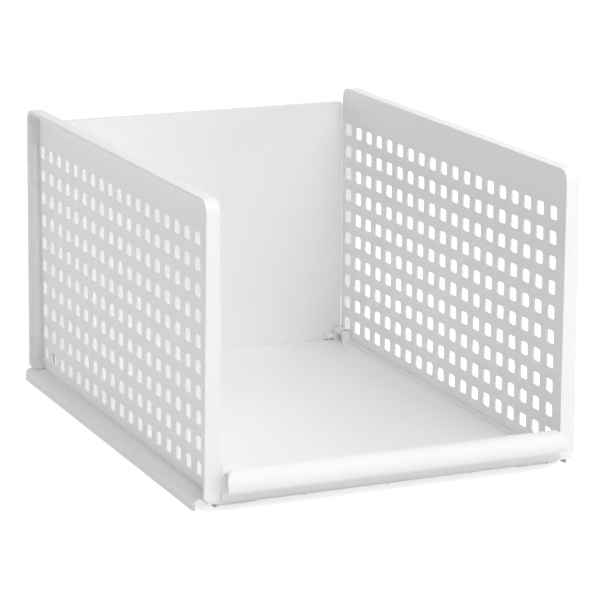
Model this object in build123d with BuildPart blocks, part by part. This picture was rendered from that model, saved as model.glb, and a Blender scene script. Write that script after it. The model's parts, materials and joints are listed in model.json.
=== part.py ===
"""Foldable pull-out storage bin, in millimetres.

X runs to the right of a person who faces the open front, Y runs to the back and Z runs up.
The origin lies under the middle of the bin, on the surface that it stands on.
"""
import os
from math import hypot, sqrt

from build123d import *

# Side panels
hole_columns = 19
hole_rows = 10
hole_pitch_y = 21.5
hole_pitch_z = 20.0
hole_length = 11.5
hole_height = 10.6
front_margin = 20.9
rear_margin = 13.5
bottom_margin = 14.2
top_margin = 37.5
sheet_wall = 1.6
rim_wall = 3.2
panel_depth = 13.5
panel_top_depth = 11.0
panel_corner = 10.0
pocket_corner = 6.0
foot_slope = 3.0
inner_width = 289.0

# Base tray
ledge_overhang = 3.0
floor_top = 8.0
floor_wall = 2.0
ledge_top = 11.0
runner_wall = 1.8
runner_shoulder = 5.0
skirt_setback = 16.5
guide_wall = 1.8
guide_gap = 1.0
guide_bottom = 3.6
guide_setback = 16.0
hook_bottom = 1.2
hook_length = 5.0
rib_wall = 1.5
rib_bottom = 3.8
rib_columns = 3
rib_rows = 8
strip_wall = 1.8
strip_bottom = 5.2
pad_bottom = 4.4
pad_length = 32.0

# Front lip, a rolled shell
lip_wall = 2.0
lip_radius = 11.0
lip_reach = 15.1
lip_centre_height = 24.7
lip_edge_height = 20.0
lip_gap = 0.5
lip_end_gap = 0.3
lip_corner = 8.0
crest_radius = 3.0
cove_radius = 11.0

# Back panel
back_height = 221.0
back_depth = 8.0
back_wall = 2.0
back_rim_wall = 2.0
back_corner = 2.5
back_side_gap = 0.5
back_face_gap = 0.3

# Hinges of the side panels
pin_radius = 2.0
pin_chamfer = 0.4
pin_play = 0.1
axis_inset = 3.5
right_axis_height = 16.5
stack_gap = 0.5
ear_wall = 3.0
ear_gap = 0.3
ear_corner = 3.1
knuckle_length = 7.2
right_knuckle_inset = 7.3
right_inner_gap = 5.7
left_knuckle_inset = 20.8
left_inner_gap = 0.3

# Hinge of the back panel
back_axis_lead = 1.0
back_axis_height = 10.4
boss_radius = 3.4
boss_length = 8.0
bore_depth = 6.5
boss_gap = 0.3
notch_width = 8.2
post_gap = 0.3
pin_end_gap = 0.4

# Edges that a hand meets
soft_edge = 0.6

# Places worked out from the sizes above
panel_length = front_margin + (hole_columns - 1) * hole_pitch_y + rear_margin
panel_height = bottom_margin + (hole_rows - 1) * hole_pitch_z + top_margin
total_depth = lip_reach + panel_length + back_face_gap + back_depth
panel_front = lip_reach - total_depth / 2
panel_rear = panel_front + panel_length
panel_middle = (panel_front + panel_rear) / 2
panel_top = ledge_top + panel_height
hole_middle_y = (panel_front + front_margin + panel_rear - rear_margin) / 2
hole_middle_z = ledge_top + (bottom_margin + panel_height - top_margin) / 2
inner_face = inner_width / 2
foot_edge = inner_face + panel_depth - foot_slope
half_base = inner_face + panel_depth + ledge_overhang
axis_x = inner_face - axis_inset
left_axis_height = right_axis_height + panel_depth + stack_gap
ear_side = axis_inset - ear_gap
back_front = panel_rear + back_face_gap
back_rear = back_front + back_depth
back_axis_y = back_front - back_axis_lead
half_back = inner_face - back_side_gap
notch_x = half_back - notch_width
tray_half = inner_face - lip_end_gap
floor_bottom = floor_top - floor_wall
lip_rear = panel_front - lip_gap
lip_front = panel_front - lip_reach
lip_centre_y = lip_front + lip_radius
cove_start = lip_rear + cove_radius
guide_face = inner_face - guide_gap
ear_inner = notch_x + post_gap

# Each side's sign along X, axis height, knuckle inset and gap before the inner ear
left_hinge = (-1, left_axis_height, left_knuckle_inset, left_inner_gap)
right_hinge = (1, right_axis_height, right_knuckle_inset, right_inner_gap)

# Each end of a side panel with the direction that leads inward from it
panel_ends = ((panel_front, 1), (panel_rear, -1))

# Turns that lay a rod, drawn along Z, along another axis
along_x = (0, 90, 0)
along_y = (90, 0, 0)


def block(x_limits, y_limits, z_limits):
    """A box between limits, in the part that is being built."""
    limits = (x_limits, y_limits, z_limits)
    with Locations(tuple((low + high) / 2 for low, high in limits)):
        Box(*[high - low for low, high in limits])


def pair_of_blocks(x_limits, y_limits, z_limits, mode=Mode.ADD):
    """A box between limits and its mirror image in X, in the part that is being built."""
    limits = (x_limits, y_limits, z_limits)
    sizes = [high - low for low, high in limits]
    x, y, z = [(low + high) / 2 for low, high in limits]
    with Locations((x, y, z), (-x, y, z)):
        Box(*sizes, mode=mode)


def rods(middles, turn, length, radius, mode=Mode.ADD):
    """Round rods of one size, turned off the Z axis, in the part that is being built."""
    with Locations(*[Location(middle, turn) for middle in middles]):
        Cylinder(radius, length, mode=mode)


def crosswise(y):
    """The upright plane at this depth, drawn on with X and Z; a negative extrusion runs back."""
    return Plane.XZ.offset(-y)


def hinge_spans(end, inward, inset, inner_gap):
    """The depths between which a hinge has its outer ear, its knuckle and its inner ear."""
    knuckle_end = inset + knuckle_length
    outer_ear = (inset - ear_gap - ear_wall, inset - ear_gap)
    inner_ear = (knuckle_end + inner_gap, knuckle_end + inner_gap + ear_wall)
    spans = (outer_ear, (inset, knuckle_end), inner_ear)
    return [sorted((end + inward * start, end + inward * stop)) for start, stop in spans]


def notch_top(height, inset, inner_gap):
    """The height up to which the back panel must be cut away to swing past a hinge's rear ears."""
    inner_ear = hinge_spans(panel_rear, -1, inset, inner_gap)[2]
    swing = hypot(back_axis_y - inner_ear[0], height + ear_side - back_axis_height)
    return back_axis_height + swing + 2 * post_gap


def pin_middles(hinge):
    """The middles of a side panel's two pins, which run from ear to ear."""
    side, height, inset, inner_gap = hinge
    middles = []
    for end, inward in panel_ends:
        outer_ear, knuckle, inner_ear = hinge_spans(end, inward, inset, inner_gap)
        y = (outer_ear[0] + outer_ear[1] + inner_ear[0] + inner_ear[1]) / 4
        middles.append((side * axis_x, y, height))
    return middles


def pin_length(hinge):
    """The length of a side panel's pins."""
    inner_gap = hinge[3]
    return knuckle_length + ear_gap + inner_gap + 2 * ear_wall


def standing_edges(slab, slope_top):
    """The edges round both faces of a standing slab, without those at its sloping foot."""
    across = slab.edges().filter_by(Axis.X)
    foot = slab.edges().filter_by_position(Axis.Z, 0, slope_top)
    return slab.edges() - across - foot


def make_side_panel(hinge):
    """A perforated sheet with a rim on three sides and two hinge knuckles at its foot."""
    side, height, inset, inner_gap = hinge
    face = Plane(origin=(side * inner_face, 0, 0), x_dir=(0, side, 0), z_dir=(side, 0, 0))
    outer_foot = side * (inner_face + panel_depth)
    outer_top = side * (inner_face + panel_top_depth)
    web = axis_inset + sheet_wall / 2
    knuckles = [hinge_spans(end, inward, inset, inner_gap)[1] for end, inward in panel_ends]
    with BuildPart() as panel:
        # Slab, thinner towards its top, with a slope at its foot
        with BuildSketch(crosswise(panel_front)):
            with BuildLine():
                slope_start = (side * foot_edge, ledge_top)
                slope_end = (outer_foot, ledge_top + foot_slope)
                outer_edge = (slope_start, slope_end, (outer_top, panel_top))
                inner_edge = ((side * inner_face, panel_top), (side * inner_face, ledge_top))
                Polyline(*outer_edge, *inner_edge, close=True)
            make_face()
        extrude(amount=-panel_length)
        fillet(panel.edges().filter_by(Axis.X).group_by(Axis.Z)[-1], panel_corner)
        fillet(standing_edges(panel, ledge_top + foot_slope / 2), soft_edge)
        # Knuckles
        with BuildSketch(*[crosswise(start) for start, stop in knuckles]):
            with Locations((side * axis_x, height)):
                Circle(axis_inset)
            with Locations((side * (axis_x + web / 2), height)):
                Rectangle(web, 2 * axis_inset)
        extrude(amount=-knuckle_length)
        # Pocket that leaves the sheet and its rim
        with BuildSketch(face.offset(sheet_wall)) as pocket:
            with Locations((side * panel_middle, ledge_top + (panel_height - rim_wall) / 2)):
                Rectangle(panel_length - 2 * rim_wall, panel_height - rim_wall)
            fillet(pocket.vertices().group_by(Axis.Y)[-1], panel_corner - rim_wall)
            fillet(pocket.vertices().group_by(Axis.Y)[0], pocket_corner)
        extrude(amount=panel_depth - sheet_wall, mode=Mode.SUBTRACT)
        # Bores, then the field of holes
        bore_middles = [(side * axis_x, (start + stop) / 2, height) for start, stop in knuckles]
        rods(bore_middles, along_y, knuckle_length, pin_radius + pin_play, Mode.SUBTRACT)
        with BuildSketch(face):
            with Locations((side * hole_middle_y, hole_middle_z)):
                with GridLocations(hole_pitch_y, hole_pitch_z, hole_columns, hole_rows):
                    Rectangle(hole_length, hole_height)
        extrude(amount=sheet_wall, mode=Mode.SUBTRACT)
    return panel


def make_side_pins(hinge):
    """The two pins of one side panel."""
    with BuildPart() as pins:
        rods(pin_middles(hinge), along_y, pin_length(hinge), pin_radius)
        chamfer(pins.edges().filter_by(GeomType.CIRCLE), pin_chamfer)
    return pins


def on_back_axis(x):
    """The places on the back panel's axis at this distance to either side."""
    return [(side * x, back_axis_y, back_axis_height) for side in (-1, 1)]


def draw_back_outline():
    """The back panel's outline, notched at both lower corners, in the sketch being drawn."""
    with Locations((0, floor_top + back_height / 2)):
        Rectangle(2 * half_back, back_height)
    notch_height = notch_ceiling - floor_top
    notch_middle = half_back - notch_width / 2
    notch_z = floor_top + notch_height / 2
    with Locations((-notch_middle, notch_z), (notch_middle, notch_z)):
        Rectangle(notch_width, notch_height, mode=Mode.SUBTRACT)


# Top of the notches at both of the back panel's lower corners
notch_ceiling = max(notch_top(*hinge[1:]) for hinge in (left_hinge, right_hinge))

# Pins of the back panel, from the bottoms of its bores into the posts
back_pin_inner = notch_x - bore_depth + pin_end_gap
back_pin_length = tray_half - pin_end_gap - back_pin_inner
back_pin_middles = on_back_axis(back_pin_inner + back_pin_length / 2)

# Base tray
with BuildPart() as base_tray:
    # Rolled lip, from the floor up over the crest and down to its free edge
    crest_y = lip_rear - crest_radius
    rise = sqrt((lip_radius - crest_radius) ** 2 - (crest_y - lip_centre_y) ** 2)
    crest_z = lip_centre_height + rise
    reach = lip_radius / (lip_radius - crest_radius)
    join = (lip_centre_y + (crest_y - lip_centre_y) * reach, lip_centre_height + rise * reach)
    edge_drop = lip_centre_height - lip_edge_height
    edge_y = lip_centre_y - sqrt(lip_radius ** 2 - edge_drop ** 2)
    with BuildSketch(Plane.YZ):
        with BuildLine():
            cove_top = (lip_rear, floor_top + cove_radius)
            TangentArc((cove_start, floor_top), cove_top, tangent=(-1, 0))
            Line(cove_top, (lip_rear, crest_z))
            TangentArc((lip_rear, crest_z), join, tangent=(0, 1))
            ThreePointArc(join, (lip_front, lip_centre_height), (edge_y, lip_edge_height))
            offset(amount=lip_wall, side=Side.LEFT)
        make_face()
    extrude(amount=tray_half, both=True)

    # Rounded upper corners at both ends of the lip
    lip_top = lip_centre_height + lip_radius
    with BuildSketch(crosswise(lip_front)) as lip_outline:
        with Locations((0, lip_top / 2)):
            Rectangle(2 * tray_half, lip_top)
        fillet(lip_outline.vertices().group_by(Axis.Y)[-1], lip_corner)
    extrude(amount=lip_front - cove_start, mode=Mode.INTERSECT)

    # Floor
    block((-guide_face, guide_face), (cove_start, back_rear), (floor_bottom, floor_top))

    # Front strip under the lip, with a lower pad at each end
    strip_depths = (cove_start - strip_wall, cove_start)
    block((-guide_face, guide_face), strip_depths, (strip_bottom, floor_top - floor_wall / 2))
    pair_of_blocks((guide_face - pad_length, guide_face), strip_depths, (pad_bottom, floor_bottom))

    # Runners, each a ledge that turns down over a round shoulder into a skirt
    skirt_front = panel_front + skirt_setback
    shoulder_start = (half_base - runner_shoulder, ledge_top)
    shoulder_end = (half_base, ledge_top - runner_shoulder)
    with BuildSketch(crosswise(skirt_front)):
        with BuildLine():
            Line((guide_face - guide_wall, ledge_top), shoulder_start)
            TangentArc(shoulder_start, shoulder_end, tangent=(1, 0))
            Line(shoulder_end, (half_base, 0))
            offset(amount=runner_wall, side=Side.RIGHT)
        make_face()
        mirror(about=Plane.YZ)
    extrude(amount=skirt_front - panel_rear)

    # Fronts of the ledges, and guide ribs with their front hooks
    guide_depths = (panel_front + guide_setback, panel_rear - guide_setback)
    hook_depths = (guide_depths[0], guide_depths[0] + hook_length)
    guide_limits = (guide_face - guide_wall, guide_face)
    ledge_front = (panel_front, skirt_front)
    pair_of_blocks((guide_limits[0], foot_edge), ledge_front, (ledge_top - runner_wall, ledge_top))
    pair_of_blocks(guide_limits, (strip_depths[0], panel_rear), (floor_bottom, ledge_top))
    pair_of_blocks(guide_limits, guide_depths, (guide_bottom, floor_bottom))
    pair_of_blocks(guide_limits, hook_depths, (hook_bottom, floor_bottom))

    # Stiffening ribs under the floor
    rib_height = floor_bottom - rib_bottom
    rib_field_x = 2 * (guide_face - guide_wall)
    rib_field_y = back_rear - cove_start
    rib_places = Location((0, (cove_start + back_rear) / 2, rib_bottom + rib_height / 2))
    with Locations(rib_places):
        with GridLocations(rib_field_x / (rib_columns + 1), 0, rib_columns, 1):
            Box(rib_wall, rib_field_y, rib_height)
        with GridLocations(0, rib_field_y / (rib_rows + 1), 1, rib_rows):
            Box(rib_field_x, rib_wall, rib_height)

    # Openings in the floor for the back panel's hinge bosses
    opening_x = (notch_x - boss_length - boss_gap, notch_x + post_gap)
    opening_y = (back_axis_y - boss_radius - boss_gap, back_axis_y + boss_radius + boss_gap)
    pair_of_blocks(opening_x, opening_y, (rib_bottom, floor_top), Mode.SUBTRACT)

    # Ears of the side hinges
    for hinge in (left_hinge, right_hinge):
        side, height, inset, inner_gap = hinge
        ear_width = axis_x + ear_side - ear_inner
        ear_height = height + ear_side - floor_bottom
        ear_starts = []
        for end, inward in panel_ends:
            outer_ear, knuckle, inner_ear = hinge_spans(end, inward, inset, inner_gap)
            ear_starts.extend((outer_ear[0], inner_ear[0]))
        with BuildSketch(*[crosswise(start) for start in ear_starts]) as ear:
            with Locations((side * (ear_inner + ear_width / 2), floor_bottom + ear_height / 2)):
                Rectangle(ear_width, ear_height)
            fillet(ear.vertices().group_by(Axis.Y)[-1], ear_corner)
        extrude(amount=-ear_wall)
        rods(pin_middles(hinge), along_y, pin_length(hinge), pin_radius, Mode.SUBTRACT)

    # Posts that carry the back panel's pins and fill its corner notches
    post_x = (notch_x + post_gap, tray_half)
    seat_y = (back_axis_y - boss_radius, back_rear)
    pair_of_blocks(post_x, (back_front, back_rear), (floor_bottom, notch_ceiling - post_gap))
    pair_of_blocks(post_x, seat_y, (floor_bottom, back_axis_height + boss_radius))
    rods(back_pin_middles, along_x, back_pin_length, pin_radius, Mode.SUBTRACT)

# Side panels and their pins
left_side_panel = make_side_panel(left_hinge)
right_side_panel = make_side_panel(right_hinge)
left_hinge_pins = make_side_pins(left_hinge)
right_hinge_pins = make_side_pins(right_hinge)

# Back panel
with BuildPart() as back_panel:
    with BuildSketch(crosswise(back_front)) as outline:
        draw_back_outline()
        fillet(outline.vertices().group_by(Axis.Y)[-1], back_corner)
    extrude(amount=-back_depth)
    fillet(back_panel.edges().filter_by(Axis.X).group_by(Axis.Z)[-1], soft_edge)
    with BuildSketch(crosswise(back_front + back_wall)) as pocket:
        draw_back_outline()
        offset(amount=-back_rim_wall, mode=Mode.REPLACE)
        fillet(pocket.vertices().group_by(Axis.Y)[-1], back_corner - back_rim_wall)
    extrude(amount=back_wall - back_depth, mode=Mode.SUBTRACT)
    boss_x = notch_x - boss_length / 2
    bore_x = notch_x - bore_depth / 2
    rods(on_back_axis(boss_x), along_x, boss_length, boss_radius)
    rods(on_back_axis(bore_x), along_x, bore_depth, pin_radius + pin_play, Mode.SUBTRACT)

with BuildPart() as back_hinge_pins:
    rods(back_pin_middles, along_x, back_pin_length, pin_radius)
    chamfer(back_hinge_pins.edges().filter_by(GeomType.CIRCLE), pin_chamfer)

os.makedirs("parts", exist_ok=True)
pieces = {
    "base_tray": base_tray,
    "left_side_panel": left_side_panel,
    "right_side_panel": right_side_panel,
    "back_panel": back_panel,
    "left_hinge_pins": left_hinge_pins,
    "right_hinge_pins": right_hinge_pins,
    "back_hinge_pins": back_hinge_pins,
}
for name, piece in pieces.items():
    piece.part.label = name
    export_step(piece.part, f"parts/{name}.step")
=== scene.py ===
"""Looks of a foldable, stackable storage bin in white plastic, laid out as a Blender add-on."""
import json
import math
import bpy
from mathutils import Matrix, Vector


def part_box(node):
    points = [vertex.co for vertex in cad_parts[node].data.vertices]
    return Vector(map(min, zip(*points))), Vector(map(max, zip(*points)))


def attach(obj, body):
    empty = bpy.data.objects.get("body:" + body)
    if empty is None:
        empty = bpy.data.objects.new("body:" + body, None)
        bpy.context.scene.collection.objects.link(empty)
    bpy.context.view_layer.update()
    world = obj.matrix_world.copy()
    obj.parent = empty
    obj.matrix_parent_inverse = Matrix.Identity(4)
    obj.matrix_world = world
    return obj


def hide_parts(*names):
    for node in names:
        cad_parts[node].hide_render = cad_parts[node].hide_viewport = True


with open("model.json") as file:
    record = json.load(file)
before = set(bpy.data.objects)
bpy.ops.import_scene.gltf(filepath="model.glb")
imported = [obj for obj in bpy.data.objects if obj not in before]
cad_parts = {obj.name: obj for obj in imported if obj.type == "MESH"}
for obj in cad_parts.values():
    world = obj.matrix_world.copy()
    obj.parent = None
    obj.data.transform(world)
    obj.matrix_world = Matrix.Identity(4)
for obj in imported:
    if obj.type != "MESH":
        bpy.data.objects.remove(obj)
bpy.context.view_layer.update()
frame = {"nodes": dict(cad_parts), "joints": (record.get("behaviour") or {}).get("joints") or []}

from types import SimpleNamespace

import bmesh
import bpy
import numpy as np
from mathutils import Vector

bl_info = {
    "name": "Storage bin",
    "version": (1, 0, 0),
    "blender": (4, 5, 0),
    "location": "View3D > Sidebar > Storage bin",
    "description": "Builds the looks of a foldable storage bin around its solid frame",
    "category": "Object",
}

NODES = frame["nodes"]
JOINTS = {joint["name"]: joint for joint in frame["joints"]}
MERGE_DISTANCE = 0.000002
TINY = 1e-6
WHITE = (1, 1, 1, 1)

# Turns along the quarter circles of soft edges, upper corners and spreading feet
EDGE_TURNS = np.radians([0, 30, 60, 90])
CORNER_TURNS = np.radians(np.linspace(0, 90, 9))
FOOT_TURNS = np.radians(np.arange(90, -1, -15))

# Points round a hinge knuckle and round a hinge boss
KNUCKLE_POINTS = 40
BOSS_POINTS = 32

# Each lamp's name, place, target, side length and the setting that holds its power
LAMPS = (
    ("front_lamp", (0, -1.8, 2.2), (0, 0, 0.1), 1.4, "front_power"),
    ("right_lamp", (0.9, -1.7, 2.2), (0, 0, 0.1), 1.4, "right_power"),
    ("top_lamp", (0.9, -0.4, 2.5), (0, 0, 0.1), 1.4, "top_power"),
    ("back_lamp", (1.4, 1.4, 2.0), (0, 0, 0.1), 1.2, "back_power"),
    ("left_lamp", (-1.8, 1.0, 0.3), (-0.16, 0, 0.12), 0.5, "left_power"),
    ("low_lamp", (0.9, -2.2, 0.25), (0, 0, 0.05), 0.5, "low_power"),
)
SENSOR_WIDTH = 36.0
NEAREST_SEEN = 0.05
FURTHEST_SEEN = 100.0


# Meshes

def grid_quads(rows, columns, closed=False):
    """Corner numbers of the quads between neighbouring rows and columns of a grid of points."""
    number = np.arange(rows * columns).reshape(rows, columns)
    following = np.roll(number, -1, axis=1)
    if not closed:
        number, following = number[:, :-1], following[:, :-1]
    corners = [number[:-1], following[:-1], following[1:], number[1:]]
    return np.stack(corners, axis=-1).reshape(-1, 4)


def make_piece(name, shells, material):
    """A smooth mesh of several shells, with its doubles merged and its faces turned outwards."""
    points = np.concatenate([shell_points.reshape(-1, 3) for shell_points, shell_faces in shells])
    faces, first = [], 0
    for shell_points, shell_faces in shells:
        faces.extend([[first + corner for corner in face] for face in shell_faces])
        first += shell_points.size // 3
    mesh = bpy.data.meshes.new(name)
    mesh.from_pydata(points.tolist(), [], faces)
    work = bmesh.new()
    work.from_mesh(mesh)
    bmesh.ops.remove_doubles(work, verts=work.verts, dist=MERGE_DISTANCE)
    bmesh.ops.recalc_face_normals(work, faces=work.faces)
    work.to_mesh(mesh)
    work.free()
    mesh.polygons.foreach_set("use_smooth", [True] * len(mesh.polygons))
    mesh.materials.append(material)
    piece = bpy.data.objects.new(name, mesh)
    bpy.context.scene.collection.objects.link(piece)
    flats = piece.modifiers.new("level_flats", "WEIGHTED_NORMAL")
    flats.mode = "FACE_AREA"
    return piece


# Side panels

def panel_plan(node, sizes):
    """Places on a side panel: its ends, foot and top, and its holes' middles and cells."""
    low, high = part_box(node)
    plan = SimpleNamespace(side=math.copysign(1, low[0] + high[0]), sizes=sizes)
    plan.front, plan.foot = low[1], low[2]
    plan.rear, plan.top = high[1] + sizes.rear_reach, high[2]
    columns, rows = np.arange(sizes.hole_columns), np.arange(sizes.hole_rows)
    plan.middles_y = plan.front + sizes.front_margin + sizes.hole_pitch[0] * columns
    plan.middles_z = plan.foot + sizes.bottom_margin + sizes.hole_pitch[1] * rows
    plan.limits_y = cell_limits(plan.middles_y, sizes.hole_size[0] / 2 + sizes.border[0])
    plan.limits_z = cell_limits(plan.middles_z, sizes.hole_size[1] / 2 + sizes.border[1])
    return plan


def cell_limits(middles, end):
    """Limits of the holes' cells: halfway between middles, and a given way past the last ones."""
    halfway = (middles[:-1] + middles[1:]) / 2
    return np.concatenate([middles[:1] - end, halfway, middles[-1:] + end])


def side_points(plan, depth, y, z):
    """Points on a side panel from their depth out from its inner face and their places on it."""
    depth, y, z = np.broadcast_arrays(depth, y, z)
    return np.stack([plan.side * (plan.sizes.inner_width / 2 + depth), y, z], axis=-1)


def ring_turns():
    """Twelve turns round a cornered ring, three to a corner, and each one's middle turn."""
    corner = np.repeat(np.arange(4), 3)
    return np.radians(90 * corner + np.tile([0, 45, 90], 4)), np.radians(90 * corner + 45)


def corner_middles(plan):
    """Middles of the holes' corner arcs: a hole's middle plus half its size less the radius."""
    sizes, quarters = plan.sizes, ring_turns()[1]
    reach_y = np.sign(np.cos(quarters)) * (sizes.hole_size[0] / 2 - sizes.hole_corner)
    reach_z = np.sign(np.sin(quarters)) * (sizes.hole_size[1] / 2 - sizes.hole_corner)
    y = plan.middles_y[:, None, None] + reach_y
    z = plan.middles_z[None, :, None] + reach_z
    return np.broadcast_arrays(y, z)


def hole_rings(plan, spread):
    """Rings round the holes: each arc's middle plus its radius and the spread, along the turn."""
    turns = ring_turns()[0]
    radius = plan.sizes.hole_corner + spread
    y, z = corner_middles(plan)
    return y + radius * np.cos(turns), z + radius * np.sin(turns)


def cell_rings(plan):
    """Rings on the cells' limits, level with the points of the holes' rings, so that cells meet."""
    turns = ring_turns()[0]
    along, up = np.round(np.cos(turns), 6), np.round(np.sin(turns), 6)
    y, z = corner_middles(plan)
    y = np.where(along > 0, plan.limits_y[1:, None, None], y)
    y = np.where(along < 0, plan.limits_y[:-1, None, None], y)
    z = np.where(up > 0, plan.limits_z[None, 1:, None], z)
    z = np.where(up < 0, plan.limits_z[None, :-1, None], z)
    return y, z


def holed_field(plan):
    """The sheet's holed field: from cell limit to hole, through it, and back on the outer face."""
    sizes = plan.sizes
    wall, edge = sizes.sheet_wall, sizes.hole_edge
    cell, wide, narrow = cell_rings(plan), hole_rings(plan, edge), hole_rings(plan, 0)
    levels = ((cell, 0), (wide, 0), (narrow, edge),
              (narrow, wall - edge), (wide, wall), (cell, wall))
    points = np.stack([side_points(plan, depth, *ring) for ring, depth in levels], axis=2)
    holes, rows, columns = points.shape[0] * points.shape[1], points.shape[2], points.shape[3]
    first = np.arange(holes)[:, None, None] * rows * columns
    return points, (grid_quads(rows, columns, closed=True) + first).reshape(-1, 4).tolist()


def field_border(middles, limits, reach):
    """Points along the border: each cell's limit and both ends of its hole's straight side."""
    sides = middles[:, None] + np.array([-reach, reach])
    return np.append(np.concatenate([limits[:-1, None], sides], axis=1).ravel(), limits[-1])


def rim_stations(plan, border_y, border_z, foot_y):
    """Stations round the rim, from the front foot over the top to the rear foot.

    Each one has the middle that the rim's outline turns about, the direction out from it, how far
    the rim spreads there, which is its foot corner's radius less that radius times a cosine, and
    the point of the field's border that it joins.
    """
    sizes = plan.sizes
    radius, spread = sizes.rim_corner, sizes.foot_corner
    near, far = plan.front + radius, plan.rear - radius
    shoulder = plan.top - radius
    foot_z = plan.foot + spread * (1 - np.sin(FOOT_TURNS))
    upright_z = np.concatenate([foot_z, border_z[border_z > foot_z[-1]]])
    joined_z = np.where(upright_z > foot_z[-1], upright_z, border_z[0])
    low = upright_z < (plan.foot + border_z[0]) / 2
    joined_z[low] = plan.foot
    spreads = np.zeros_like(upright_z)
    spreads[:len(foot_z)] = spread * (1 - np.cos(FOOT_TURNS))
    ends = ((near, -1, border_y[0], foot_y[0]), (far, 1, border_y[-1], foot_y[1]))
    uprights, corners = [], []
    for middle, outward, border, foot in ends:
        joined_y = np.where(low, foot, border)
        upright = (middle, upright_z, outward, 0, spreads, joined_y, joined_z)
        uprights.append(station_rows(*upright))
        out_y, out_z = outward * np.cos(CORNER_TURNS), np.sin(CORNER_TURNS)
        corners.append(station_rows(middle, shoulder, out_y, out_z, 0, border, border_z[-1]))
    along = border_y[1:-1]
    top = station_rows(np.clip(along, near, far), shoulder, 0, 1, 0, along, border_z[-1])
    return np.concatenate([uprights[0], corners[0], top, corners[1][::-1], uprights[1][::-1]])


def station_rows(*columns):
    """Stations as rows of numbers, from columns of which some are the same at every station."""
    return np.stack(np.broadcast_arrays(*[np.atleast_1d(column) for column in columns]), axis=-1)


def rim_depth(plan, z):
    """How far the rim stands out at a height: the lesser of its foot's slope and its taper."""
    low_depth, top_depth = plan.sizes.rim_depth
    slope_top = plan.foot + plan.sizes.foot_slope
    share = (z - slope_top) / (plan.top - slope_top)
    return np.minimum(low_depth + z - slope_top, low_depth + share * (top_depth - low_depth))


def rim_surface(plan, stations):
    """The rim as rows carried round its stations, from the field's border out, round and back in.

    A row lies on the outline, set in by its inset, at a depth that is measured from the inner face
    or back from the rim's own face. Four rows round each edge follow a quarter circle.
    """
    sizes = plan.sizes
    middle_y, middle_z, out_y, out_z, spreads, joined_y, joined_z = stations.T
    crisp, edge, wall, sheet = sizes.inner_edge, sizes.soft_edge, sizes.rim_wall, sizes.sheet_wall
    rising, falling = 1 - np.sin(EDGE_TURNS), 1 - np.cos(EDGE_TURNS)
    no, yes = np.zeros_like(EDGE_TURNS), np.ones_like(EDGE_TURNS)
    # Insets, depths, whether the depth counts back from the rim's face, whether the foot spreads
    inner_edge = (crisp * rising, crisp * falling, no, no)
    outer_edge = (edge * falling, -edge * rising, yes, no)
    pocket_edge = (wall - edge * rising, -edge * falling, yes, yes)
    pocket_floor = (wall + edge * falling, sheet + edge * rising, no, yes)
    rows = np.concatenate([inner_edge, outer_edge, pocket_edge, pocket_floor], axis=1)
    inset, depth, from_face, spreading = rows[:, :, None]
    radius = sizes.rim_corner - inset - spreading * spreads
    y = middle_y + out_y * radius
    z = middle_z + out_z * radius
    depth = depth + from_face * rim_depth(plan, z)
    inner_border = side_points(plan, 0, joined_y, joined_z)[None]
    outer_border = side_points(plan, sheet, joined_y, joined_z)[None]
    return np.concatenate([inner_border, side_points(plan, depth, y, z), outer_border])


def rim_shell(plan):
    """The rim's surface with the strips under the field and a flat cap on each foot."""
    sizes = plan.sizes
    reach_y = sizes.hole_size[0] / 2 - sizes.hole_corner
    reach_z = sizes.hole_size[1] / 2 - sizes.hole_corner
    border_y = field_border(plan.middles_y, plan.limits_y, reach_y)
    border_z = field_border(plan.middles_z, plan.limits_z, reach_z)
    clear = sizes.rim_wall + sizes.foot_corner + 2 * sizes.soft_edge
    foot_y = (max(border_y[0], plan.front + clear), min(border_y[-1], plan.rear - clear))
    stations = rim_stations(plan, border_y, border_z, foot_y)
    surface = rim_surface(plan, stations)
    rows, columns = surface.shape[:2]
    faces = grid_quads(rows, columns).tolist()
    number = np.arange(rows * columns).reshape(rows, columns)
    faces.extend([number[:, 0].tolist(), number[:, -1].tolist()])
    standing_y = np.clip(border_y, *foot_y)
    wall = sizes.sheet_wall
    strip_rows = ((0, border_y, border_z[0]), (0, standing_y, plan.foot),
                  (wall, standing_y, plan.foot), (wall, border_y, border_z[0]))
    strips = np.stack([side_points(plan, *row) for row in strip_rows])
    return (surface, faces), (strips, grid_quads(*strips.shape[:2]).tolist())


def knuckle_shell(plan, axis, start, stop):
    """A hinge knuckle: a circle that squares off towards the sheet, carried along its axis."""
    sizes = plan.sizes
    turns = np.linspace(0, 2 * np.pi, KNUCKLE_POINTS, endpoint=False)
    cosine, sine = np.cos(turns), np.sin(turns)
    radius, edge = sizes.knuckle_radius, sizes.hole_edge
    web = radius + sizes.sheet_wall / 2
    square = np.minimum(web / np.maximum(cosine, TINY), radius / np.maximum(np.abs(sine), TINY))
    outline = np.where(cosine > 0, square, radius)
    bore = np.full_like(outline, sizes.bore_radius)
    rows = ((outline - edge, start), (outline, start + edge), (outline, stop - edge),
            (outline - edge, stop), (bore, stop), (bore, start), (outline - edge, start))
    points = []
    for reach, y in rows:
        x = axis[0] + plan.side * reach * cosine
        points.append(np.stack([x, np.full_like(x, y), axis[2] + reach * sine], axis=-1))
    return np.array(points), grid_quads(len(rows), len(turns), closed=True).tolist()


def knuckle_shells(plan, axis, inset):
    """Both knuckles of a side panel, each a given way in from its end."""
    length = plan.sizes.knuckle_length
    starts = (plan.front + inset, plan.rear - inset - length)
    return [knuckle_shell(plan, axis, start, start + length) for start in starts]


# Back panel

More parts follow.
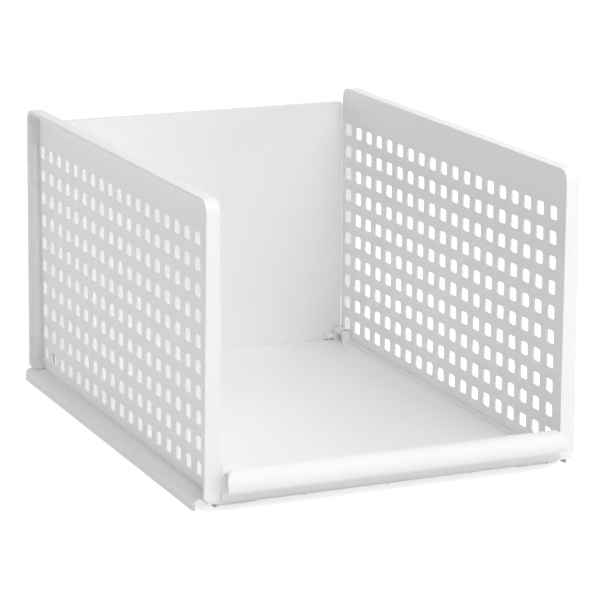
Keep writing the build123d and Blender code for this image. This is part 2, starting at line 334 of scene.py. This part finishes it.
def back_stations(foot, top, sizes):
    """Stations round the back panel: a point in X and Z and the way in from it.

    The way in is diagonal at a square corner and radial on the rounded ones.
    """
    half, corner = sizes.width / 2, sizes.corner
    notch_x, notch_z = half - sizes.notch[0], foot + sizes.notch[1]
    cosine, sine = np.cos(CORNER_TURNS), np.sin(CORNER_TURNS)
    square = [(notch_x, foot, -1, 1), (notch_x, notch_z, -1, 1), (half, notch_z, -1, 1)]
    x, z = half - corner * (1 - cosine), top - corner * (1 - sine)
    right = np.concatenate([square, np.stack([x, z, -cosine, -sine], axis=-1)])
    return np.concatenate([right, right[::-1] * (-1, 1, -1, 1)])


def back_shell(high, sizes):
    """The back panel as rows round its stations, from its face over its rim to its pocket's floor.

    A row lies on the outline, moved in by its inset, at its depth behind the face. Four rows round
    each edge follow a quarter circle.
    """
    stations = back_stations(high[2] - sizes.height, high[2], sizes)
    edge, wall, rim, deep = sizes.soft_edge, sizes.wall, sizes.rim_wall, sizes.depth
    rising, falling = edge * (1 - np.sin(EDGE_TURNS)), edge * (1 - np.cos(EDGE_TURNS))
    inset = np.concatenate([rising, falling, rim - rising, rim + falling])[:, None]
    depth = np.concatenate([falling, deep - rising, deep - falling, wall + rising])[:, None]
    x, z, inward_x, inward_z = stations.T
    face = high[1] - deep
    points = np.broadcast_arrays(x + inset * inward_x, face + depth, z + inset * inward_z)
    return capped_shell(np.stack(points, axis=-1))


def boss_shell(axis, side, sizes):
    """A hinge boss: circles carried along its axis from its rounded end, and back down its bore."""
    turns = np.linspace(0, 2 * np.pi, BOSS_POINTS, endpoint=False)
    edge, outer, bore = sizes.soft_edge, sizes.boss_radius, sizes.bore_radius
    rounding, length = sizes.boss_rounding, sizes.boss_length
    rounded = outer - rounding * (1 - np.sin(EDGE_TURNS))
    radius = np.append(rounded, [outer, outer - edge, bore, bore])
    ends = [length - edge, length, length, length - sizes.bore_depth]
    along = np.append(rounding * (1 - np.cos(EDGE_TURNS)), ends)
    start = sizes.width / 2 - sizes.notch[0] - length
    x = np.broadcast_to(side * (start + along)[:, None], (len(along), len(turns)))
    y = axis[1] + radius[:, None] * np.cos(turns)
    z = axis[2] + radius[:, None] * np.sin(turns)
    return capped_shell(np.stack([x, y, z], axis=-1))


def capped_shell(points):
    """Closed rows of points as a shell with a flat cap on its first and its last row."""
    rows, columns = points.shape[:2]
    faces = grid_quads(rows, columns, closed=True).tolist()
    last = (rows - 1) * columns
    return points, faces + [list(range(columns)), list(range(last, last + columns))]


# Materials

def new_group(name, inputs, outputs):
    """An empty shader node group with these named sockets, and its input and output nodes."""
    group = bpy.data.node_groups.new(name, "ShaderNodeTree")
    for label, kind, value in inputs:
        socket = group.interface.new_socket(name=label, in_out="INPUT", socket_type=kind)
        if value is not None:
            socket.default_value = value
    for label, kind in outputs:
        group.interface.new_socket(name=label, in_out="OUTPUT", socket_type=kind)
    return group, group.nodes.new("NodeGroupInput"), group.nodes.new("NodeGroupOutput")


def moulded_surface_group():
    """Fine grain in height and gloss, and a faint shade where the plastic flowed last."""
    inputs = (
        ("Position", "NodeSocketVector", None),
        ("Grain scale", "NodeSocketFloat", 1400.0),
        ("Flow scale", "NodeSocketFloat", 9.0),
        ("Colour", "NodeSocketColor", (0.8, 0.8, 0.8, 1.0)),
        ("Shade colour", "NodeSocketColor", (0.76, 0.76, 0.76, 1.0)),
        ("Smooth roughness", "NodeSocketFloat", 0.4),
        ("Matt roughness", "NodeSocketFloat", 0.5),
    )
    outputs = (
        ("Colour", "NodeSocketColor"),
        ("Roughness", "NodeSocketFloat"),
        ("Height", "NodeSocketFloat"),
    )
    group, source, sink = new_group("moulded_surface", inputs, outputs)
    nodes, links = group.nodes, group.links

    grain = nodes.new("ShaderNodeTexNoise")
    grain.inputs["Detail"].default_value = 2.0
    links.new(source.outputs["Position"], grain.inputs["Vector"])
    links.new(source.outputs["Grain scale"], grain.inputs["Scale"])

    flow = nodes.new("ShaderNodeTexNoise")
    flow.inputs["Detail"].default_value = 3.0
    links.new(source.outputs["Position"], flow.inputs["Vector"])
    links.new(source.outputs["Flow scale"], flow.inputs["Scale"])

    tone = nodes.new("ShaderNodeMix")
    tone.data_type = "RGBA"
    links.new(flow.outputs["Fac"], tone.inputs["Factor"])
    links.new(source.outputs["Colour"], tone.inputs["A"])
    links.new(source.outputs["Shade colour"], tone.inputs["B"])

    roughness = nodes.new("ShaderNodeMix")
    roughness.data_type = "FLOAT"
    links.new(grain.outputs["Fac"], roughness.inputs["Factor"])
    links.new(source.outputs["Smooth roughness"], roughness.inputs["A"])
    links.new(source.outputs["Matt roughness"], roughness.inputs["B"])

    links.new(tone.outputs["Result"], sink.inputs["Colour"])
    links.new(roughness.outputs["Result"], sink.inputs["Roughness"])
    links.new(grain.outputs["Fac"], sink.inputs["Height"])
    return group


def moulded_material(name, group, finish, grain_scale, relief_strength):
    """White moulded plastic whose grain, tone and gloss come from the shared group."""
    material = bpy.data.materials.new(name)
    material.use_nodes = True
    nodes, links = material.node_tree.nodes, material.node_tree.links
    shader = nodes["Principled BSDF"]
    place = nodes.new("ShaderNodeTexCoord")
    surface = nodes.new("ShaderNodeGroup")
    surface.node_tree = group
    surface.inputs["Grain scale"].default_value = grain_scale
    surface.inputs["Colour"].default_value = (*finish.colour, 1.0)
    surface.inputs["Shade colour"].default_value = (*finish.shade_colour, 1.0)
    surface.inputs["Smooth roughness"].default_value = finish.smooth_roughness
    surface.inputs["Matt roughness"].default_value = finish.matt_roughness
    links.new(place.outputs["Object"], surface.inputs["Position"])
    links.new(surface.outputs["Colour"], shader.inputs["Base Color"])
    links.new(surface.outputs["Roughness"], shader.inputs["Roughness"])
    relief = nodes.new("ShaderNodeBump")
    relief.inputs["Strength"].default_value = relief_strength
    relief.inputs["Distance"].default_value = finish.grain_depth
    links.new(surface.outputs["Height"], relief.inputs["Height"])
    links.new(relief.outputs["Normal"], shader.inputs["Normal"])
    shader.inputs["IOR"].default_value = finish.ior
    return material


def seen_ray(nodes, links):
    """A socket that is one where the camera, gloss or glass sees the surface, else zero."""
    path = nodes.new("ShaderNodeLightPath")
    seen = nodes.new("ShaderNodeMath")
    seen.operation = "MAXIMUM"
    links.new(path.outputs["Is Camera Ray"], seen.inputs[0])
    links.new(path.outputs["Is Glossy Ray"], seen.inputs[1])
    seen_through = nodes.new("ShaderNodeMath")
    seen_through.operation = "MAXIMUM"
    links.new(seen.outputs[0], seen_through.inputs[0])
    links.new(path.outputs["Is Transmission Ray"], seen_through.inputs[1])
    return seen_through.outputs[0]


def backdrop_material(name, colour, lift):
    """A matt surface that takes shadows, and looks almost white to the camera, gloss and glass."""
    material = bpy.data.materials.new(name)
    material.use_nodes = True
    nodes, links = material.node_tree.nodes, material.node_tree.links
    shader = nodes["Principled BSDF"]
    shader.inputs["Base Color"].default_value = (*colour, 1.0)
    shader.inputs["Roughness"].default_value = 1.0
    shader.inputs["Specular IOR Level"].default_value = 0.0
    glow = nodes.new("ShaderNodeEmission")
    glow.inputs["Strength"].default_value = lift
    both = nodes.new("ShaderNodeAddShader")
    choice = nodes.new("ShaderNodeMixShader")
    links.new(seen_ray(nodes, links), choice.inputs[0])
    links.new(shader.outputs[0], choice.inputs[1])
    links.new(shader.outputs[0], both.inputs[0])
    links.new(glow.outputs[0], both.inputs[1])
    links.new(both.outputs[0], choice.inputs[2])
    links.new(choice.outputs[0], nodes["Material Output"].inputs["Surface"])
    return material


# Lamps and sky

def add_lamp(name, place, target, side, power):
    """A square lamp at a place, aimed at a target."""
    light = bpy.data.lights.new(name, "AREA")
    light.shape = "SQUARE"
    light.size = side
    light.energy = power
    lamp = bpy.data.objects.new(name, light)
    lamp.location = place
    aim = Vector(target) - Vector(place)
    lamp.rotation_euler = aim.to_track_quat("-Z", "Y").to_euler()
    bpy.context.scene.collection.objects.link(lamp)


def paint_world(world, level):
    """An even sky that is white where the camera, gloss or glass sees it."""
    nodes, links = world.node_tree.nodes, world.node_tree.links
    nodes.clear()
    light = nodes.new("ShaderNodeBackground")
    light.inputs["Color"].default_value = WHITE
    light.inputs["Strength"].default_value = level
    white = nodes.new("ShaderNodeBackground")
    white.inputs["Color"].default_value = WHITE
    choice = nodes.new("ShaderNodeMixShader")
    links.new(seen_ray(nodes, links), choice.inputs[0])
    links.new(light.outputs[0], choice.inputs[1])
    links.new(white.outputs[0], choice.inputs[2])
    output = nodes.new("ShaderNodeOutputWorld")
    links.new(choice.outputs[0], output.inputs["Surface"])


# Settings

class BinFinish(bpy.types.PropertyGroup):
    """Colour and gloss of the white plastic."""

    colour: bpy.props.FloatVectorProperty(
        name="Colour", description="Colour of the moulded plastic", subtype="COLOR",
        default=(0.9, 0.9, 0.895), min=0.0, max=1.0)
    shade_colour: bpy.props.FloatVectorProperty(
        name="Shade colour", description="Colour where the plastic flowed last", subtype="COLOR",
        default=(0.88, 0.88, 0.875), min=0.0, max=1.0)
    smooth_roughness: bpy.props.FloatProperty(
        name="Smooth roughness", description="Roughness in the grain's hollows", subtype="FACTOR",
        default=0.48, min=0.0, max=1.0)
    matt_roughness: bpy.props.FloatProperty(
        name="Matt roughness", description="Roughness on the grain's tops", subtype="FACTOR",
        default=0.62, min=0.0, max=1.0)
    grain_depth: bpy.props.FloatProperty(
        name="Grain depth", description="Height of the moulded grain", unit="LENGTH",
        default=0.00004, min=0.0)
    body_grain: bpy.props.FloatVectorProperty(
        name="Body grain", description="Scale and strength of the grain on the moulded pieces",
        size=2, default=(1400.0, 0.35), min=0.0)
    pin_grain: bpy.props.FloatVectorProperty(
        name="Pin grain", description="Scale and strength of the grain on the hinge pins",
        size=2, default=(2600.0, 0.1), min=0.0)
    ior: bpy.props.FloatProperty(
        name="IOR", description="Refractive index of the plastic", default=1.5, min=1.0)


class BinStage(bpy.types.PropertyGroup):
    """Floor, camera and lamps."""

    camera_place: bpy.props.FloatVectorProperty(
        name="Camera place", description="Where the camera stands", subtype="TRANSLATION",
        default=(-0.90102, -2.09372, 0.66707))
    camera_turn: bpy.props.FloatVectorProperty(
        name="Camera turn", description="The camera's turn about each axis", subtype="EULER",
        default=(math.radians(76.17824), math.radians(-0.2245), math.radians(-23.45696)))
    focal_length: bpy.props.FloatProperty(
        name="Focal length", description="Focal length for a sensor 36 mm wide",
        subtype="DISTANCE_CAMERA", default=169.711, min=1.0)
    floor_colour: bpy.props.FloatVectorProperty(
        name="Floor colour", description="Colour of the pale floor", subtype="COLOR",
        default=(0.9, 0.9, 0.9), min=0.0, max=1.0)
    floor_lift: bpy.props.FloatProperty(
        name="Floor lift", description="How much the seen floor is lifted towards white",
        default=0.7, min=0.0, max=1.0)
    floor_span: bpy.props.FloatProperty(
        name="Floor span", description="Length of each side of the floor", unit="LENGTH",
        default=30.0, min=1.0)
    sky_level: bpy.props.FloatProperty(
        name="Sky level", description="Brightness of the even sky", default=0.325, min=0.0)
    front_power: bpy.props.FloatProperty(
        name="Front power", description="Power of the lamp high in front", unit="POWER",
        default=25.5, min=0.0)
    right_power: bpy.props.FloatProperty(
        name="Right power", description="Power of the lamp high in front on the right",
        unit="POWER", default=13.0, min=0.0)
    top_power: bpy.props.FloatProperty(
        name="Top power", description="Power of the lamp above the right side", unit="POWER",
        default=6.0, min=0.0)
    back_power: bpy.props.FloatProperty(
        name="Back power", description="Power of the lamp high behind on the right", unit="POWER",
        default=12.0, min=0.0)
    left_power: bpy.props.FloatProperty(
        name="Left power", description="Power of the small lamp low on the left", unit="POWER",
        default=6.0, min=0.0)
    low_power: bpy.props.FloatProperty(
        name="Low power", description="Power of the small lamp low in front", unit="POWER",
        default=6.0, min=0.0)


class BinPanels(bpy.types.PropertyGroup):
    """Sizes of the perforated side panels."""

    inner_width: bpy.props.FloatProperty(
        name="Inner width", description="Distance between the side panels' inner faces",
        unit="LENGTH", default=0.289, min=0.01)
    hole_columns: bpy.props.IntProperty(
        name="Hole columns", description="Holes along each side panel", default=19, min=1)
    hole_rows: bpy.props.IntProperty(
        name="Hole rows", description="Holes up each side panel", default=10, min=1)
    hole_pitch: bpy.props.FloatVectorProperty(
        name="Hole pitch", description="Distance between holes, along and up", size=2,
        unit="LENGTH", default=(0.0215, 0.020))
    hole_size: bpy.props.FloatVectorProperty(
        name="Hole size", description="Length and height of a hole", size=2, unit="LENGTH",
        default=(0.0115, 0.0106))
    hole_corner: bpy.props.FloatProperty(
        name="Hole corner", description="Radius of a hole's corners", unit="LENGTH",
        default=0.0018, min=0.0001)
    front_margin: bpy.props.FloatProperty(
        name="Front margin", description="From the front end to the middle of the first holes",
        unit="LENGTH", default=0.0209)
    bottom_margin: bpy.props.FloatProperty(
        name="Bottom margin", description="From the foot to the middle of the lowest holes",
        unit="LENGTH", default=0.0142)
    border: bpy.props.FloatVectorProperty(
        name="Border", description="Sheet between the outer holes and the rim, along and up",
        size=2, unit="LENGTH", default=(0.0027, 0.0047))
    rear_reach: bpy.props.FloatProperty(
        name="Rear reach", description="How much closer to the back panel than the solid",
        unit="LENGTH", default=0.00025, min=0.0)
    sheet_wall: bpy.props.FloatProperty(
        name="Sheet wall", description="Thickness of the perforated sheet", unit="LENGTH",
        default=0.0016, min=0.0005)
    rim_wall: bpy.props.FloatProperty(
        name="Rim wall", description="Thickness of the rim", unit="LENGTH",
        default=0.0032, min=0.0005)
    rim_depth: bpy.props.FloatVectorProperty(
        name="Rim depth", description="Depth of the rim at its foot and at its top", size=2,
        unit="LENGTH", default=(0.0135, 0.011))
    rim_corner: bpy.props.FloatProperty(
        name="Rim corner", description="Radius of the panel's upper corners", unit="LENGTH",
        default=0.010, min=0.001)
    foot_corner: bpy.props.FloatProperty(
        name="Foot corner", description="Radius where the rim spreads at its foot", unit="LENGTH",
        default=0.006, min=0.001)
    foot_slope: bpy.props.FloatProperty(
        name="Foot slope", description="Height of the slope under the rim's foot", unit="LENGTH",
        default=0.003, min=0.0)
    soft_edge: bpy.props.FloatProperty(
        name="Soft edge", description="Radius of the rim's edges", unit="LENGTH",
        default=0.0005, min=0.00005)
    inner_edge: bpy.props.FloatProperty(
        name="Inner edge", description="Radius of the rim's edge on the inner face", unit="LENGTH",
        default=0.00015, min=0.00005)
    hole_edge: bpy.props.FloatProperty(
        name="Hole edge", description="Width of the soft edge round a hole", unit="LENGTH",
        default=0.0003, min=0.00005)
    knuckle_radius: bpy.props.FloatProperty(
        name="Knuckle radius", description="Radius of a hinge knuckle", unit="LENGTH",
        default=0.0035, min=0.001)
    knuckle_length: bpy.props.FloatProperty(
        name="Knuckle length", description="Length of a hinge knuckle", unit="LENGTH",
        default=0.0072, min=0.001)
    bore_radius: bpy.props.FloatProperty(
        name="Bore radius", description="Radius of a knuckle's bore", unit="LENGTH",
        default=0.0021, min=0.0001)
    knuckle_insets: bpy.props.FloatVectorProperty(
        name="Knuckle insets", description="From each end to a knuckle, on the left and the right",
        size=2, unit="LENGTH", default=(0.0208, 0.0073))


class BinBack(bpy.types.PropertyGroup):
    """Sizes of the back panel."""

    width: bpy.props.FloatProperty(
        name="Width", description="Width of the back panel", unit="LENGTH",
        default=0.2889, min=0.01)
    height: bpy.props.FloatProperty(
        name="Height", description="Height of the back panel", unit="LENGTH",
        default=0.221, min=0.01)
    depth: bpy.props.FloatProperty(
        name="Depth", description="From the face to the back of the rim", unit="LENGTH",
        default=0.008, min=0.002)
    wall: bpy.props.FloatProperty(
        name="Wall", description="Thickness of the sheet", unit="LENGTH",
        default=0.002, min=0.0005)
    rim_wall: bpy.props.FloatProperty(
        name="Rim wall", description="Thickness of the rim", unit="LENGTH",
        default=0.002, min=0.0005)
    corner: bpy.props.FloatProperty(
        name="Corner", description="Radius of the upper corners", unit="LENGTH",
        default=0.0025, min=0.001)
    notch: bpy.props.FloatVectorProperty(
        name="Notch", description="Width and height of the notches for the tray's posts", size=2,
        unit="LENGTH", default=(0.0084, 0.04125))
    soft_edge: bpy.props.FloatProperty(
        name="Soft edge", description="Radius of the edges", unit="LENGTH",
        default=0.00015, min=0.00005)
    boss_radius: bpy.props.FloatProperty(
        name="Boss radius", description="Radius of a hinge boss", unit="LENGTH",
        default=0.0029, min=0.001)
    boss_length: bpy.props.FloatProperty(
        name="Boss length", description="Length of a hinge boss", unit="LENGTH",
        default=0.0074, min=0.001)
    boss_rounding: bpy.props.FloatProperty(
        name="Boss rounding", description="Radius of a boss's inner end", unit="LENGTH",
        default=0.0009, min=0.0)
    bore_radius: bpy.props.FloatProperty(
        name="Bore radius", description="Radius of a boss's bore", unit="LENGTH",
        default=0.0021, min=0.0001)
    bore_depth: bpy.props.FloatProperty(
        name="Bore depth", description="Depth of a boss's bore", unit="LENGTH",
        default=0.0065, min=0.001)


# Operators

class OBJECT_OT_bin_finish(bpy.types.Operator):
    """Make the white plastic's materials and give them to the solid pieces"""

    bl_idname = "object.bin_finish"
    bl_label = "Plastic finish"

    def execute(self, context):
        finish = context.scene.bin_finish
        group = moulded_surface_group()
        body = moulded_material("white_moulded_plastic", group, finish, *finish.body_grain)
        pins = moulded_material("smooth_pin_plastic", group, finish, *finish.pin_grain)
        for name, node in NODES.items():
            node.data.materials.clear()
            node.data.materials.append(pins if name.endswith("pins") else body)
        return {"FINISHED"}


class OBJECT_OT_bin_side_panels(bpy.types.Operator):
    """Make the perforated side panels with their rims, soft-edged holes and hinge knuckles"""

    bl_idname = "object.bin_side_panels"
    bl_label = "Side panels"

    def execute(self, context):
        sizes = context.scene.bin_panels
        material = bpy.data.materials["white_moulded_plastic"]
        for name, inset in zip(("left", "right"), sizes.knuckle_insets):
            node = f"{name}_side_panel"
            plan = panel_plan(node, sizes)
            joint = JOINTS[f"{name}_panel_fold"]
            knuckles = knuckle_shells(plan, joint["pos_m"], inset)
            shells = [holed_field(plan), *rim_shell(plan), *knuckles]
            piece = make_piece(f"{name}_perforated_panel", shells, material)
            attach(piece, joint["child"])
            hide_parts(node)
        return {"FINISHED"}


class OBJECT_OT_bin_back_panel(bpy.types.Operator):
    """Make the plain back panel with its rim, its corner notches and its hinge bosses"""

    bl_idname = "object.bin_back_panel"
    bl_label = "Back panel"

    def execute(self, context):
        sizes = context.scene.bin_back
        joint = JOINTS["back_panel_fold"]
        bosses = [boss_shell(joint["pos_m"], side, sizes) for side in (-1, 1)]
        shells = [back_shell(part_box("back_panel")[1], sizes), *bosses]
        piece = make_piece("plain_back_panel", shells, bpy.data.materials["white_moulded_plastic"])
        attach(piece, joint["child"])
        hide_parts("back_panel")
        return {"FINISHED"}


class OBJECT_OT_bin_stage(bpy.types.Operator):
    """Make the pale floor, the soft lamps and the camera at the photograph's place"""

    bl_idname = "object.bin_stage"
    bl_label = "Stage"

    def execute(self, context):
        stage = context.scene.bin_stage
        half = stage.floor_span / 2
        corners = [(-half, -half, 0), (half, -half, 0), (half, half, 0), (-half, half, 0)]
        mesh = bpy.data.meshes.new("floor")
        mesh.from_pydata(corners, [], [(0, 1, 2, 3)])
        mesh.materials.append(backdrop_material("pale_floor", stage.floor_colour, stage.floor_lift))
        floor = bpy.data.objects.new("floor", mesh)
        context.scene.collection.objects.link(floor)

        for name, place, target, side, power in LAMPS:
            add_lamp(name, place, target, side, getattr(stage, power))

        world = context.scene.world or bpy.data.worlds.new("studio")
        context.scene.world = world
        world.use_nodes = True
        paint_world(world, stage.sky_level)

        lens = bpy.data.cameras.new("camera")
        lens.sensor_fit = "HORIZONTAL"
        lens.sensor_width = SENSOR_WIDTH
        lens.lens = stage.focal_length
        lens.clip_start = NEAREST_SEEN
        lens.clip_end = FURTHEST_SEEN
        camera = bpy.data.objects.new("camera", lens)
        camera.location = stage.camera_place
        camera.rotation_euler = stage.camera_turn
        context.scene.collection.objects.link(camera)
        context.scene.camera = camera
        context.scene.view_settings.view_transform = "Standard"
        return {"FINISHED"}


class VIEW3D_PT_bin(bpy.types.Panel):
    """Lists the steps that build the bin's looks"""

    bl_idname = "VIEW3D_PT_bin"
    bl_label = "Storage bin"
    bl_space_type = "VIEW_3D"
    bl_region_type = "UI"
    bl_category = "Storage bin"

    def draw(self, context):
        for step in STEPS:
            self.layout.operator(step.bl_idname)


STEPS = (
    OBJECT_OT_bin_finish,
    OBJECT_OT_bin_side_panels,
    OBJECT_OT_bin_back_panel,
    OBJECT_OT_bin_stage,
)
SETTINGS = {
    "bin_finish": BinFinish,
    "bin_panels": BinPanels,
    "bin_back": BinBack,
    "bin_stage": BinStage,
}


def register():
    """Registers the settings, the operators and the panel."""
    for name, group in SETTINGS.items():
        bpy.utils.register_class(group)
        setattr(bpy.types.Scene, name, bpy.props.PointerProperty(type=group))
    for step in STEPS:
        bpy.utils.register_class(step)
    bpy.utils.register_class(VIEW3D_PT_bin)


def unregister():
    """Takes the panel, the operators and the settings away."""
    bpy.utils.unregister_class(VIEW3D_PT_bin)
    for step in reversed(STEPS):
        bpy.utils.unregister_class(step)
    for name, group in SETTINGS.items():
        delattr(bpy.types.Scene, name)
        bpy.utils.unregister_class(group)


def main():
    """Builds every piece in order."""
    register()
    bpy.ops.object.bin_finish()
    bpy.ops.object.bin_side_panels()
    bpy.ops.object.bin_back_panel()
    bpy.ops.object.bin_stage()


if __name__ == "__main__":
    main()
